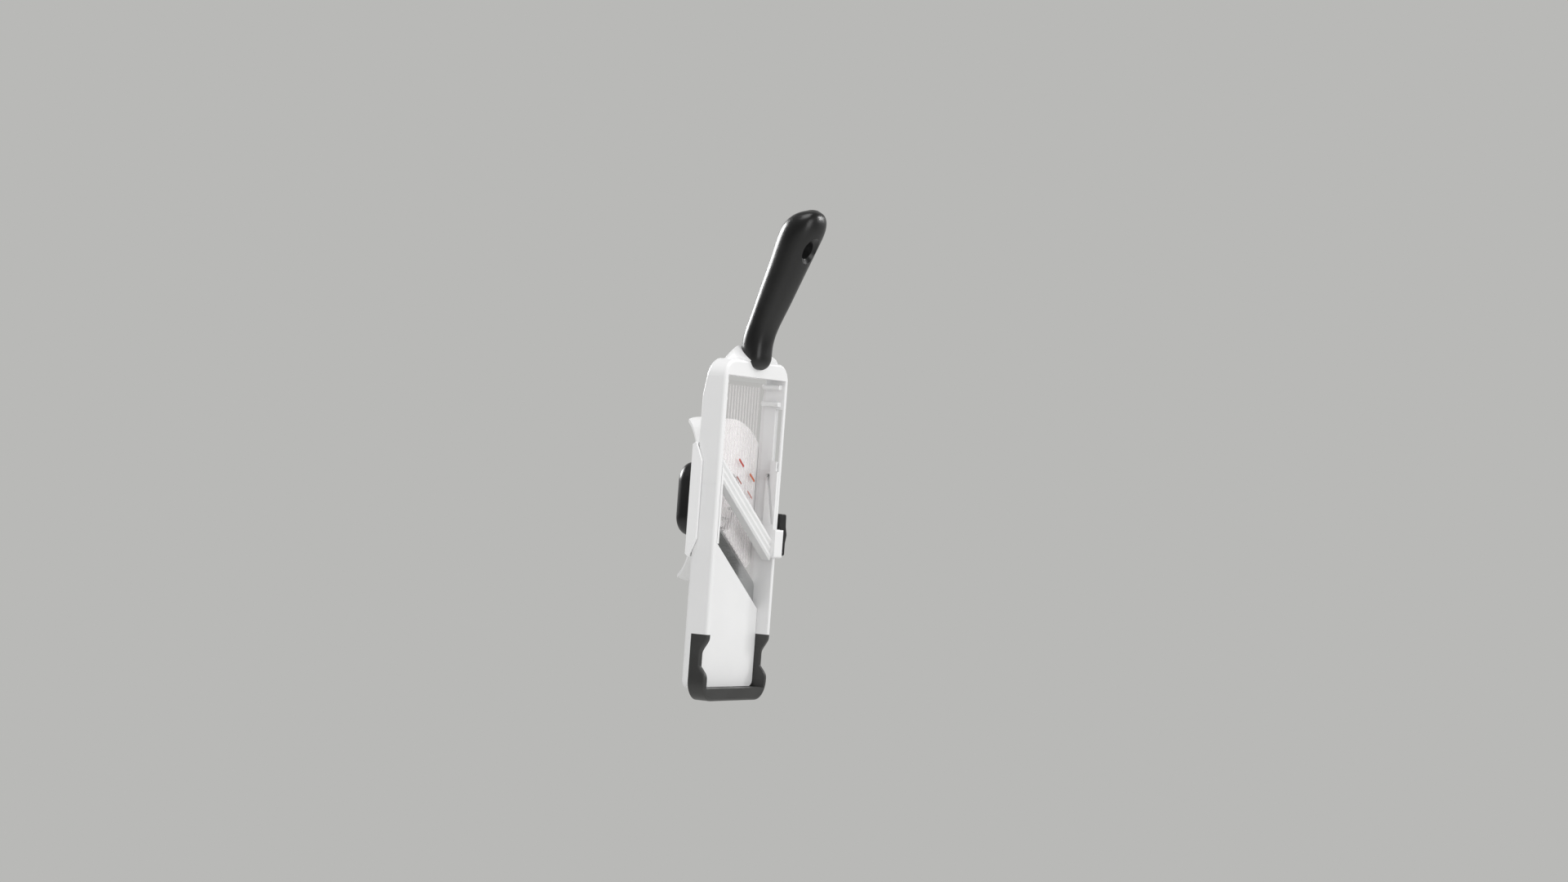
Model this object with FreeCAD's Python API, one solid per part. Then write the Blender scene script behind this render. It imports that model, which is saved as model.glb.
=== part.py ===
import FreeCAD, Part
import math
import os

# Hand-held mandoline slicer, upright with the handle on top; -Y is its underside and
# +Y the slicing side. Modelled with X across, Y up from the underside edges of the
# rails and Z up from the foot, then moved so that the origin is the hanging hole.

V = FreeCAD.Vector
X_AXIS = V(1, 0, 0)
Y_AXIS = V(0, 1, 0)
Z_AXIS = V(0, 0, 1)

# Body
WIDTH = 95.0
WALL = 4.5
RAIL_DEPTH = 20.0
SHOULDER_Z = 257.0
YOKE_HEIGHT = 12.3
SHOULDER_R = 14.0
EDGE_R = 2.2
INNER_EDGE_R = 1.0
BODY_BASE_Z = 6.0
HEEL_R = 11.0
TAPER_START_Z = 228.0
TAPER_DEPTH = 5.0
SEAM_Z = 162.5
SEAM_DEPTH = 0.15
HALF = WIDTH / 2
INNER = HALF - WALL
WINDOW_TOP = SHOULDER_Z - YOKE_HEIGHT

# Blade, deck and the cover that clamps the blade
BLADE_ANGLE = 36.0
BLADE_MID_Z = 120.5
BLADE_WIDTH = 26.0
BLADE_T = 0.8
BLADE_BEVEL = 3.0
BLADE_SHOWN = 16.6
BLADE_TOP_Y = 15.8
DECK_LIP = 7.0
DECK_T = 1.6
COVER_Y = 10.5
COVER_T = 2.2
COVER_GAP = 0.3
COVER_CORNER = 5.0
RIM_T = 2.0
RIVET_R = 2.0
RIVET_SPAN = 26.0
RIB_H = 0.6
RIB_W = 1.9
RIB_PITCH = 4.3
DECK_TOP_Y = BLADE_TOP_Y + DECK_T
BLADE_UNDER_Y = BLADE_TOP_Y - BLADE_T
RIVET_N = -(BLADE_SHOWN + BLADE_WIDTH) / 2

# Ramp in front of the blade, set down by the thickness bar
SLICE_MAX = 3.0
LOCK_RISE = 3.0
SLIDE_TRAVEL = 36.0
RAMP_GAP = 1.6
RAMP_T = 1.6
RAMP_SIDE_GAP = 0.6
RAMP_TOP_Z = 241.5
TAB_Z = 233.0
TAB_HALF = 4.4
TAB_NECK = 4.6
GUIDE_RIB_H = 3.6
GUIDE_CLEAR = 0.4
GUIDE_LOW_Y = 3.0
RAMP_TRAVEL = SLICE_MAX + LOCK_RISE
RAMP_HALF = INNER - RAMP_SIDE_GAP
RAMP_TOP_Y = BLADE_TOP_Y + LOCK_RISE
RAMP_SKIN_Y = RAMP_TOP_Y - RIB_H
RAMP_UNDER_Y = RAMP_SKIN_Y - RAMP_T

# Cam pins under the ramp and the cam plates on the bar
PIN_R = 1.0
PIN_Y = 7.9
PIN_LEFT_Z = 157.5
PIN_RIGHT_Z = 172.0
LUG_T = 2.0
LUG_HALF = 4.0
LUG_TIP = 1.6
CAM_T = 2.6
CAM_END = 3.2
CAM_BACK_Y = 9.8
CAM_FRONT_Y = 0.2
SLOT_DEPTH = 1.6
FIT = 0.3
SIDE_CLEAR = 0.4
CAM_OUT = INNER - SIDE_CLEAR
CAM_IN = CAM_OUT - CAM_T

# Thickness bar, its clip over the right rail, the thumb piece and the stop
BAR_MID_N = 19.4
BAR_HALF = 6.85
BAR_FRONT_Y = 0.4
BAR_BACK_Y = 8.0
BAR_GROOVE = 1.3
CLIP_Z0 = 109.0
CLIP_Z1 = 131.0
CLIP_T = 2.3
CLIP_OUT = 4.7
CLIP_DEPTH = 12.0
CLIP_R = 1.8
THUMB_TOP_Z = 143.0
THUMB_T = 3.8
THUMB_BULGE = 1.7
STOP_R = 2.5
STOP_Y = 4.4
STOP_Z = 180.1
SLOT_SPARE = 4.0
ARM_HALF = 2.6
ARM_T = 2.0
LEAF_T = 0.4
LEAF_BOW = 0.9
LEAF_W = 5.0
POCKET = 1.6
CLIP_FACE = HALF + SIDE_CLEAR
CLIP_EDGE = CLIP_FACE + CLIP_OUT

# Foot sleeve with the bowl notch
FOOT_TOP_Z = 50.0
FOOT_BAR_Z = 9.5
FOOT_SKIN = 1.5
FOOT_BACK_Y = 14.0
FOOT_CORNER_R = 15.0
NOTCH_Z0 = 19.5
NOTCH_Z1 = 46.0
NOTCH_RISE = 6.5
NOTCH_FALL = 9.0
NOTCH_DEPTH = 5.6
NOTCH_R = 8.0
NOTCH_LIP_R = 1.6

# Handle: a bend at the root, then a straight leaning grip growing to its rounded end
HANDLE_LEAN = 21.2
BEND_LOW_Z = 264.0
BEND_HIGH_Z = 284.0
BEND_HIGH_Y = -1.0
HANDLE_END_Z = 372.6
END_DOME = 20.6
END_SHIFT = 10.0
GRIP_W = 13.5
GRIP_D = 10.2
GRIP_W_GROW = 0.078
GRIP_D_GROW = 0.051
TONGUE_Z = 250.6
COLLAR_SKIN = 0.8
COLLAR_REACH = 38.5
COLLAR_FRONT_Y = -0.8
COLLAR_TOP_Z = 269.8
COLLAR_ROOT_Y = 0.8
COLLAR_SINK = 1.5
COLLAR_SLOPE = 0.83
CORE_SCALE = 0.55
CORE_SHORT = 34.0
HOLE_R = 7.0
HOLE_RIM = 3.4
HOLE_INSET = 26.6
END_START_Z = HANDLE_END_Z - END_DOME
HOLE_Z = HANDLE_END_Z - HOLE_INSET
CORE_END_Z = HOLE_Z - CORE_SHORT

# Food holder riding on the slicing side of the rails
GUARD_Z = 150.0
GUARD_R = 62.6
GUARD_GAP = 0.4
GUARD_T = 2.6
SHIELD_T = 2.6
SHIELD_TOP_Y = 48.5
SHIELD_TOP_HALF = 16.4
SHIELD_FOOT_HALF = 45.0
SHIELD_BREAK = 0.8
SKIRT_T = 2.3
SKIRT_LOW_Y = 14.5
SKIRT_LOW_HALF = 29.0
SKIRT_TOP_HALF = 43.0
TOWER_R = 24.4
TOWER_WALL = 2.0
TOWER_TOP_Y = 40.5
GUARD_Y = RAIL_DEPTH + GUARD_GAP
GUARD_TOP_Y = GUARD_Y + GUARD_T
SKIRT_IN = HALF + GUARD_GAP
SKIRT_OUT = SKIRT_IN + SKIRT_T

# Plunger in the food holder
KNOB_HALF = 27.9
KNOB_CORNER_R = 15.0
KNOB_LOW_Y = 24.6
KNOB_TOP_Y = 49.2
KNOB_ROUND = 6.5
KNOB_SKIN = 1.6
KNOB_BORE = 25.0
KNOB_DISH = 1.2
STEM_R = 4.0
STEM_FIT = 0.06
PUSHER_R = 21.0
PUSHER_T = 2.4
PUSHER_Y = 26.0
HUB_R = 7.0
HUB_H = 5.0
PRONG_R = 0.9
PRONG_RING = 14.5
PRONG_TIP_Y = 20.0
PRONG_POINT = 2.4
PRONG_SEAT = 1.4
PRONGS = 8
SCREW_R = 1.5
SCREW_HEAD_R = 3.0
SCREW_HEAD_H = 1.3
SCREW_LEN = 11.0
COIL_LOW_R = 9.0
COIL_WIRE = 0.5
COIL_TURNS = 4.5
COIL_CONE = 32.0
COIL_SEAT = 0.15


def box(x0, x1, y0, y1, z0, z1):
    return Part.makeBox(x1 - x0, y1 - y0, z1 - z0, V(x0, y0, z0))


def mirrored(shape):
    return shape.mirror(V(0, 0, 0), X_AXIS)


def pair(shape):
    # A right-hand shape with its mirror image on the left
    return [shape, mirrored(shape)]


def rod_y(x, z, y0, y1, r):
    return Part.makeCylinder(r, y1 - y0, V(x, y0, z), Y_AXIS)


def rod_x(x0, x1, y, z, r):
    return Part.makeCylinder(r, x1 - x0, V(x0, y, z), X_AXIS)


def prism_xz(points, y0, y1):
    wire = Part.makePolygon([V(x, y0, z) for x, z in points + points[:1]])
    return Part.Face(wire).extrude(V(0, y1 - y0, 0))


def prism_zy(points, x0, x1):
    wire = Part.makePolygon([V(x0, y, z) for z, y in points + points[:1]])
    return Part.Face(wire).extrude(V(x1 - x0, 0, 0))


def spun(points):
    # Solid of revolution about the food holder's axis from (radius, y) points
    wire = Part.makePolygon([V(r, y, GUARD_Z) for r, y in points + points[:1]])
    return Part.Face(wire).revolve(V(0, 0, GUARD_Z), Y_AXIS, 360)


def fillet(shape, radius, pick):
    return shape.makeFillet(radius, [e for e in shape.Edges if pick(e.BoundBox)])


def diagonal(n, y, along):
    # A point by its distance n from the cutting edge towards the handle
    a = math.radians(BLADE_ANGLE)
    x = n * math.sin(a) + along * math.cos(a)
    z = BLADE_MID_Z + n * math.cos(a) - along * math.sin(a)
    return V(x, y, z)


def diagonal_prism(profile):
    reach = 3 * WIDTH
    ring = [diagonal(n, y, -reach) for n, y in profile + profile[:1]]
    run = diagonal(0, 0, reach) - diagonal(0, 0, -reach)
    return Part.Face(Part.makePolygon(ring)).extrude(run)


def footward(n):
    # Everything nearer the foot than the line n in front of the cutting edge
    far = -4 * WIDTH
    return diagonal_prism([(n, -WIDTH), (far, -WIDTH), (far, WIDTH), (n, WIDTH)])


def ribs(y0, y1, half, z0, z1):
    # Low lengthwise ribs the food glides on
    count = int(half / RIB_PITCH)
    out = []
    for i in range(-count, count + 1):
        x = i * RIB_PITCH
        out.append(box(x - RIB_W / 2, x + RIB_W / 2, y0, y1, z0, z1))
    return out


def oval(y, z, lean, half_w, half_d, power=2.4, count=32):
    a = math.radians(lean)
    across = V(0, math.cos(a), math.sin(a))
    ring = []
    for i in range(count):
        t = 2 * math.pi * i / count
        c = math.cos(t)
        s = math.sin(t)
        u = math.copysign(abs(c) ** (2 / power), c) * half_w
        w = math.copysign(abs(s) ** (2 / power), s) * half_d
        ring.append(V(0, y, z) + X_AXIS * u + across * w)
    curve = Part.BSplineCurve()
    curve.interpolate(Points=ring, PeriodicFlag=True)
    return Part.Wire([curve.toShape()])


def lean_at(z):
    f = (z - BEND_LOW_Z) / (BEND_HIGH_Z - BEND_LOW_Z)
    return HANDLE_LEAN * min(1.0, max(0.0, f))


def centre_y(z):
    # Middle of the handle: upright at the root, through the bend, then leaning
    t = math.tan(math.radians(HANDLE_LEAN))
    run = BEND_HIGH_Z - BEND_LOW_Z
    if z >= BEND_HIGH_Z:
        return BEND_HIGH_Y - t * (z - BEND_HIGH_Z)
    f = max(0.0, (z - BEND_LOW_Z) / run)
    return BEND_HIGH_Y + t * run * (1 - f * f) / 2


def grip_size(z):
    grown = max(0.0, z - BEND_HIGH_Z)
    return GRIP_W + GRIP_W_GROW * grown, GRIP_D + GRIP_D_GROW * grown


def grip_ring(z, scale, thin=1.0):
    w, d = grip_size(z)
    return oval(centre_y(z), z, lean_at(z), w * scale, d * scale * thin)


def root_rings(scale):
    # The grip closes to a rounded tongue inside the yoke
    out = []
    for f in (0.01, 0.08, 0.25, 0.6):
        z = TONGUE_Z + (BEND_LOW_Z - TONGUE_Z) * f
        wide = (1 - (1 - f) ** 4) ** 0.45
        deep = 1 - 0.465 * (1 - f) ** 3
        out.append(grip_ring(z, scale * wide, deep / wide))
    return out


def stretch_rings(scale, z_end):
    bend = (BEND_HIGH_Z - BEND_LOW_Z) / 2
    out = []
    for z in (BEND_LOW_Z, BEND_LOW_Z + bend):
        out.append(grip_ring(z, scale))
    steps = 4
    for i in range(steps + 1):
        out.append(grip_ring(BEND_HIGH_Z + (z_end - BEND_HIGH_Z) * i / steps, scale))
    return out


def end_rings():
    # The end turns level and closes in a soft dome
    w, d = grip_size(END_START_Z)
    out = []
    for f in (0.4, 0.7, 0.88, 0.97, 1.0):
        k = max(0.2, (1 - f ** 3) ** 0.5)
        z = END_START_Z + END_DOME * f
        y = centre_y(END_START_Z) - END_SHIFT * f
        out.append(oval(y, z, HANDLE_LEAN * (1 - f), w * k, d * k))
    return out


def grip_outer():
    return Part.makeLoft(root_rings(1.0) + stretch_rings(1.0, END_START_Z) + end_rings(), True)


def handle_core():
    return Part.makeLoft(root_rings(CORE_SCALE) + stretch_rings(CORE_SCALE, CORE_END_Z), True)


def hole_centre():
    return V(0, centre_y(HOLE_Z), HOLE_Z)


def hole_axis():
    a = math.radians(HANDLE_LEAN)
    return V(0, math.cos(a), math.sin(a))


def hole_tool():
    # Straight throat of the hanging hole with a flared lip at both faces
    d = hole_axis()
    c = hole_centre()
    tools = [Part.makeCylinder(HOLE_R, 2 * WIDTH, c - d * WIDTH, d)]
    lip = grip_size(HOLE_Z)[1] - HOLE_RIM
    for way in (1, -1):
        mouth = c + d * (way * lip)
        tools.append(Part.makeCone(HOLE_R, HOLE_R + 2 * HOLE_RIM, 2 * HOLE_RIM, mouth, d * way))
    return tools[0].fuse(tools[1:])


def handle_grip():
    return grip_outer().cut(handle_core()).cut(hole_tool())


def collar_ring(z, half_w, front):
    back = centre_y(z) + GRIP_D + COLLAR_SKIN
    return oval((front + back) / 2, z, 0, half_w, (back - front) / 2)


def collar():
    # White collar sweeping up from the shoulders to the grip, cut lower at the front
    root_z = SHOULDER_Z - COLLAR_SINK
    rise = COLLAR_TOP_Z - root_z
    fall = COLLAR_REACH - GRIP_W - COLLAR_SKIN
    rings = [collar_ring(root_z, COLLAR_REACH, COLLAR_ROOT_Y)]
    for f in (0.2, 0.4, 0.6, 0.8, 1.0):
        rings.append(collar_ring(root_z + rise * f, COLLAR_REACH - fall * f ** 1.3, COLLAR_FRONT_Y))
    body = Part.makeLoft(rings, True)
    reach = 2 * RAIL_DEPTH
    back = RAIL_DEPTH - TAPER_DEPTH
    slope = [
        (COLLAR_TOP_Z + COLLAR_SLOPE * reach, back + reach),
        (COLLAR_TOP_Z - COLLAR_SLOPE * reach, back - reach),
        (COLLAR_TOP_Z + WIDTH, back - reach),
        (COLLAR_TOP_Z + WIDTH, back + reach),
    ]
    return body.cut(prism_zy(slope, -WIDTH, WIDTH))


def body_block():
    side = [
        (BODY_BASE_Z, 0),
        (BODY_BASE_Z, RAIL_DEPTH),
        (TAPER_START_Z, RAIL_DEPTH),
        (SHOULDER_Z, RAIL_DEPTH - TAPER_DEPTH),
        (SHOULDER_Z, 0),
    ]
    block = prism_zy(side, -HALF, HALF)
    block = fillet(block, SHOULDER_R, lambda b: b.ZMin > SHOULDER_Z - 1 and b.XLength < 1)
    low_r = FOOT_CORNER_R - BODY_BASE_Z
    block = fillet(block, low_r, lambda b: b.ZMax < BODY_BASE_Z + 1 and b.XLength < 1)
    return fillet(block, EDGE_R, is_outline_edge).cut(heel())


def heel():
    # What the rounded lower end of the deck leaves out
    y = RAIL_DEPTH - HEEL_R
    z = BODY_BASE_Z + HEEL_R
    corner = box(-WIDTH, WIDTH, y, RAIL_DEPTH + 1, 0, z)
    return corner.cut(rod_x(-WIDTH, WIDTH, y, z, HEEL_R))


def is_outline_edge(b):
    # Edges round the front and back outlines, not the crease of the taper
    crease = b.XLength > 1 and abs(b.ZMax - TAPER_START_Z) < 1
    return b.YLength < TAPER_DEPTH + 1 and not crease


def foot_outline(inset, z0):
    # Side outline of a foot arm with the bowl notch, drawn inset by the skin
    deep = NOTCH_DEPTH + inset
    return [
        (z0, inset),
        (NOTCH_Z0 - inset, inset),
        (NOTCH_Z0 + NOTCH_RISE - inset / 2, deep),
        (NOTCH_Z1 - NOTCH_FALL + inset / 2, deep),
        (NOTCH_Z1 + inset, inset),
        (FOOT_TOP_Z, inset),
        (FOOT_TOP_Z, FOOT_BACK_Y),
        (z0, FOOT_BACK_Y),
    ]


def foot_web():
    # Thinned end of a rail inside the foot's sleeve
    return prism_zy(foot_outline(FOOT_SKIN, FOOT_BAR_Z), INNER + FOOT_SKIN, HALF - FOOT_SKIN)


def foot_arm():
    arm = prism_zy(foot_outline(0.0, 0.0), INNER, HALF)
    lip_z = NOTCH_Z0 + NOTCH_RISE
    arm = fillet(arm, NOTCH_LIP_R, lambda b: b.XLength > 1 and abs(b.ZMin - lip_z) < 1)
    arm = fillet(arm, NOTCH_R, is_notch_bend)
    return arm.cut(foot_web())


def is_notch_bend(b):
    # The soft bends above and below the notch
    bends = (NOTCH_Z0, NOTCH_Z1 - NOTCH_FALL, NOTCH_Z1)
    return b.XLength > 1 and b.ZLength < 0.1 and min(abs(b.ZMin - z) for z in bends) < 0.1


def is_foot_edge(b):
    # Outer front edges of the foot, round the arms, the corners and the bar
    side = abs(abs(b.XMin) - HALF) < 0.1 and b.XLength < 0.1 and b.ZLength > 0.1
    low = b.YMax < 0.1 and b.ZMin < 0.1
    return b.YMax < NOTCH_DEPTH + 0.1 and (side or low)


def end_foot():
    bar = box(-HALF, HALF, 0, FOOT_BACK_Y, 0, FOOT_BAR_Z)
    foot = bar.fuse(pair(foot_arm())).removeSplitter()
    foot = fillet(foot, FOOT_CORNER_R, lambda b: b.ZMax < 1 and b.XLength < 1)
    return fillet(foot, EDGE_R, is_foot_edge)


def guide_ribs():
    # Two ribs on each rail between which the ramp's tabs run in and out
    out = []
    x0 = RAMP_HALF - TAB_NECK + FIT
    for z in (TAB_Z - TAB_HALF - GUIDE_CLEAR - GUIDE_RIB_H, TAB_Z + TAB_HALF + GUIDE_CLEAR):
        rib = box(x0, INNER + 1, GUIDE_LOW_Y, RAMP_SKIN_Y, z, z + GUIDE_RIB_H)
        out += pair(fillet(rib, GUIDE_RIB_H / 2.4, lambda b: b.XMax < INNER and b.YLength > 1))
    return out


def stop_slot():
    half = STOP_R + FIT
    top = STOP_Z + SLIDE_TRAVEL + half + SLOT_SPARE
    return box(INNER - 1, HALF + 1, STOP_Y - half, STOP_Y + half, STOP_Z - half, top)


def rivet(along, radius, y0, y1):
    p = diagonal(RIVET_N, 0, along)
    return rod_y(p.x, p.z, y0, y1, radius)


def rivet_places():
    # Evenly along the clamped strip, about the middle of the deck
    middle = -RIVET_N * math.tan(math.radians(BLADE_ANGLE))
    return [middle - RIVET_SPAN, middle, middle + RIVET_SPAN]


def is_inner_front_edge(b):
    return b.YMax < 0.1 and b.ZLength > WIDTH and abs(b.XMin) < INNER + 1


def main_frame(foot):
    frame = body_block()
    hollow = box(-INNER, INNER, -1, BLADE_TOP_Y, FOOT_BAR_Z, WINDOW_TOP)
    window = box(-INNER, INNER, -1, RAIL_DEPTH + 1, FOOT_BAR_Z, WINDOW_TOP).cut(footward(-DECK_LIP))
    frame = frame.cut([hollow, window])
    frame = frame.cut(box(-INNER, INNER, DECK_TOP_Y, RAIL_DEPTH + 1, 0, WINDOW_TOP))
    lip = [
        (-DECK_LIP + 1, BLADE_TOP_Y + 0.4),
        (-DECK_LIP, BLADE_TOP_Y + 0.4),
        (-DECK_LIP - 5, DECK_TOP_Y),
        (-DECK_LIP - 5, DECK_TOP_Y + 1),
        (-DECK_LIP + 1, DECK_TOP_Y + 1),
    ]
    frame = frame.cut(diagonal_prism(lip).common(box(-INNER, INNER, 0, RAIL_DEPTH, 0, WINDOW_TOP)))
    frame = fillet(frame, INNER_EDGE_R, is_inner_front_edge)
    deck_ribs = ribs(DECK_TOP_Y - 0.3, DECK_TOP_Y + RIB_H, INNER - RIB_PITCH, FOOT_BAR_Z + 3, WINDOW_TOP)
    frame = frame.fuse([rib.common(footward(-DECK_LIP - 6)) for rib in deck_ribs] + guide_ribs())
    frame = frame.cut(stop_slot())
    frame = frame.cut(box(-HALF - 1, -HALF + SEAM_DEPTH, -1, FOOT_BACK_Y, SEAM_Z, SEAM_Z + 2 * SEAM_DEPTH))
    frame = frame.cut([rivet(a, RIVET_R, COVER_Y, DECK_TOP_Y - 0.6) for a in rivet_places()])
    sleeve = box(INNER, HALF, -1, FOOT_BACK_Y, 0, FOOT_TOP_Z).cut(foot_web())
    frame = frame.cut([foot] + pair(sleeve)).removeSplitter()
    return frame.fuse(collar()).cut(grip_outer()).fuse(handle_core())


def blade():
    shape = [
        (0, BLADE_TOP_Y),
        (-BLADE_BEVEL, BLADE_UNDER_Y),
        (-BLADE_WIDTH, BLADE_UNDER_Y),
        (-BLADE_WIDTH, BLADE_TOP_Y),
    ]
    inside = INNER - COVER_GAP
    strip = diagonal_prism(shape).common(box(-inside, inside, 0, RAIL_DEPTH, 0, WINDOW_TOP))
    return strip.cut([rivet(a, RIVET_R, 0, RAIL_DEPTH) for a in rivet_places()])


def blade_rivets():
    places = rivet_places()
    return Part.makeCompound([rivet(a, RIVET_R, COVER_Y + COVER_T / 2, DECK_TOP_Y - 0.6) for a in places])


def deck_cover():
    inside = INNER - COVER_GAP
    low = FOOT_BAR_Z + COVER_GAP
    room = box(-inside, inside, 0, RAIL_DEPTH, low, WINDOW_TOP)
    room = fillet(room, COVER_CORNER, lambda b: b.ZMax < low + 1 and b.YLength > 1)
    plate = box(-inside, inside, COVER_Y, COVER_Y + COVER_T, low, WINDOW_TOP).common(footward(-BLADE_SHOWN))
    pad = diagonal_prism([
        (-BLADE_SHOWN, COVER_Y + 1),
        (-BLADE_SHOWN - 1.5, BLADE_UNDER_Y),
        (-BLADE_WIDTH, BLADE_UNDER_Y),
        (-BLADE_WIDTH, COVER_Y + 1),
    ])
    rim = box(-inside, inside, COVER_Y + 1, BLADE_TOP_Y, low, WINDOW_TOP)
    rim = rim.cut(box(-inside + RIM_T, inside - RIM_T, 0, RAIL_DEPTH, low + RIM_T + COVER_CORNER, WINDOW_TOP))
    rim = rim.common(footward(-BLADE_WIDTH - FIT))
    cover = plate.fuse([pad, rim]).common(room)
    return cover.cut([rivet(a, RIVET_R, COVER_Y + COVER_T / 2, RAIL_DEPTH) for a in rivet_places()])


def ramp_panel():
    behind = footward(RAMP_GAP)
    plate = box(-RAMP_HALF, RAMP_HALF, RAMP_UNDER_Y, RAMP_SKIN_Y, 0, RAMP_TOP_Z).cut(behind)
    x0 = RAMP_HALF - TAB_NECK
    side = box(x0, WIDTH, 0, RAIL_DEPTH, TAB_Z - TAB_HALF - 2 * GUIDE_CLEAR - GUIDE_RIB_H, WIDTH * 3)
    side = side.cut(box(0, WIDTH, 0, RAIL_DEPTH, TAB_Z - TAB_HALF, TAB_Z + TAB_HALF))
    plate = plate.cut(pair(side))
    glide = ribs(RAMP_SKIN_Y - 0.3, RAMP_TOP_Y, x0 - 1, 0, RAMP_TOP_Z - 3)
    glide = [rib.cut(footward(RAMP_GAP + 2)) for rib in glide]
    lugs = [ramp_lug(PIN_RIGHT_Z), mirrored(ramp_lug(PIN_LEFT_Z))]
    return plate.fuse(glide + lugs).removeSplitter()


def ramp_lug(z):
    x1 = CAM_IN - FIT
    lug = box(x1 - LUG_T, x1, PIN_Y - LUG_TIP, RAMP_UNDER_Y + RAMP_T / 2, z - LUG_HALF, z + LUG_HALF)
    return lug.cut(rod_x(0, WIDTH, PIN_Y, z, PIN_R))


def cam_pin(z):
    return rod_x(CAM_IN - FIT - LUG_T, CAM_IN + SLOT_DEPTH - FIT, PIN_Y, z, PIN_R)


def cam_pins():
    return Part.makeCompound([cam_pin(PIN_RIGHT_Z), mirrored(cam_pin(PIN_LEFT_Z))])


def cam_slot(z):
    # Slanted slot that draws the ramp down as the bar goes up
    r = PIN_R + FIT / 2
    slope = math.atan2(RAMP_TRAVEL, SLIDE_TRAVEL)
    dz = r * math.sin(slope)
    dy = r * math.cos(slope)
    low_z = z - SLIDE_TRAVEL
    low_y = PIN_Y - RAMP_TRAVEL
    strip = [(z - dz, PIN_Y + dy), (low_z - dz, low_y + dy), (low_z + dz, low_y - dy), (z + dz, PIN_Y - dy)]
    floor = CAM_IN + SLOT_DEPTH
    ends = [rod_x(0, floor, PIN_Y, z, r), rod_x(0, floor, low_y, low_z, r)]
    return prism_zy(strip, 0, floor).fuse(ends)


def bar_end_z(x, n):
    # Height at which the line n crosses a place across the body
    a = math.radians(BLADE_ANGLE)
    return BLADE_MID_Z + n / math.cos(a) - x * math.tan(a)


def left_cam_plate():
    # The bar ends in a socket edge, so the plate stops on the bar's lower flank
    z0 = PIN_LEFT_Z - SLIDE_TRAVEL - CAM_END
    z1 = bar_end_z(-CAM_IN, BAR_MID_N)
    plate = box(CAM_IN, CAM_OUT, CAM_FRONT_Y, CAM_BACK_Y, z0, z1).cut(cam_slot(PIN_LEFT_Z))
    return mirrored(plate).cut(thickness_bar_body())


def right_cam_plate():
    plate = box(CAM_IN, CAM_OUT, CAM_FRONT_Y, CAM_BACK_Y, CLIP_Z1, PIN_RIGHT_Z + CAM_END)
    arm = box(CAM_OUT - ARM_T, CAM_OUT, STOP_Y - ARM_HALF, STOP_Y + ARM_HALF, PIN_RIGHT_Z, STOP_Z + ARM_HALF)
    plate = plate.cut(cam_slot(PIN_RIGHT_Z)).fuse(arm.cut(cam_slot(PIN_RIGHT_Z)))
    return plate.cut(rod_x(CAM_IN, HALF, STOP_Y, STOP_Z, STOP_R)).removeSplitter()


def bar_strip():
    n0 = BAR_MID_N - BAR_HALF
    third = 2 * BAR_HALF / 3
    y = BAR_FRONT_Y
    g = BAR_GROOVE
    profile = [(n0, BAR_BACK_Y), (n0, y + g)]
    for i in range(3):
        n = n0 + third * i
        profile += [(n + g, y), (n + third - g, y), (n + third, y + g)]
    profile.append((n0 + 3 * third, BAR_BACK_Y))
    return diagonal_prism(profile).common(box(-CAM_OUT, CAM_IN, -1, RAIL_DEPTH, 0, WINDOW_TOP))


def clip():
    block = box(CAM_IN - 1, CLIP_EDGE, -CLIP_T - SIDE_CLEAR, CLIP_DEPTH, CLIP_Z0, CLIP_Z1)
    block = fillet(block, CLIP_R, lambda b: b.YMax < 0 and (b.XMin > CLIP_EDGE - 1 or b.XLength > 1))
    rail = box(CAM_OUT, CLIP_FACE, -SIDE_CLEAR, RAIL_DEPTH, 0, WINDOW_TOP)
    behind = box(0, CAM_OUT, CAM_BACK_Y, RAIL_DEPTH, 0, WINDOW_TOP)
    return block.cut([rail, behind, leaf_pocket()])


def thickness_bar_body():
    return bar_strip().fuse(clip()).removeSplitter()


def stop_pin():
    return rod_x(CAM_OUT - ARM_T, HALF - 0.8, STOP_Y, STOP_Z, STOP_R)


def leaf_pocket():
    y = CLIP_DEPTH / 2 - LEAF_W / 2 - FIT
    return box(CLIP_FACE - 1, CLIP_FACE + POCKET, y, y + LEAF_W + 2 * FIT, CLIP_Z0 + 2, CLIP_Z1 - 2)


def click_spring():
    # Thin steel leaf, bowed towards the rail, in its pocket in the clip
    x1 = CLIP_FACE + POCKET
    y = CLIP_DEPTH / 2 - LEAF_W / 2
    z0 = CLIP_Z0 + 2 + FIT
    z1 = CLIP_Z1 - 2 - FIT
    mid = (z0 + z1) / 2
    outer = [V(x1, y, z0), V(x1 - LEAF_BOW, y, mid), V(x1, y, z1)]
    inner = [p - X_AXIS * LEAF_T for p in outer]
    edges = [
        Part.Arc(outer[0], outer[1], outer[2]).toShape(),
        Part.makeLine(outer[2], inner[2]),
        Part.Arc(inner[2], inner[1], inner[0]).toShape(),
        Part.makeLine(inner[0], outer[0]),
    ]
    return Part.Face(Part.Wire(edges)).extrude(V(0, LEAF_W, 0))


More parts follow.
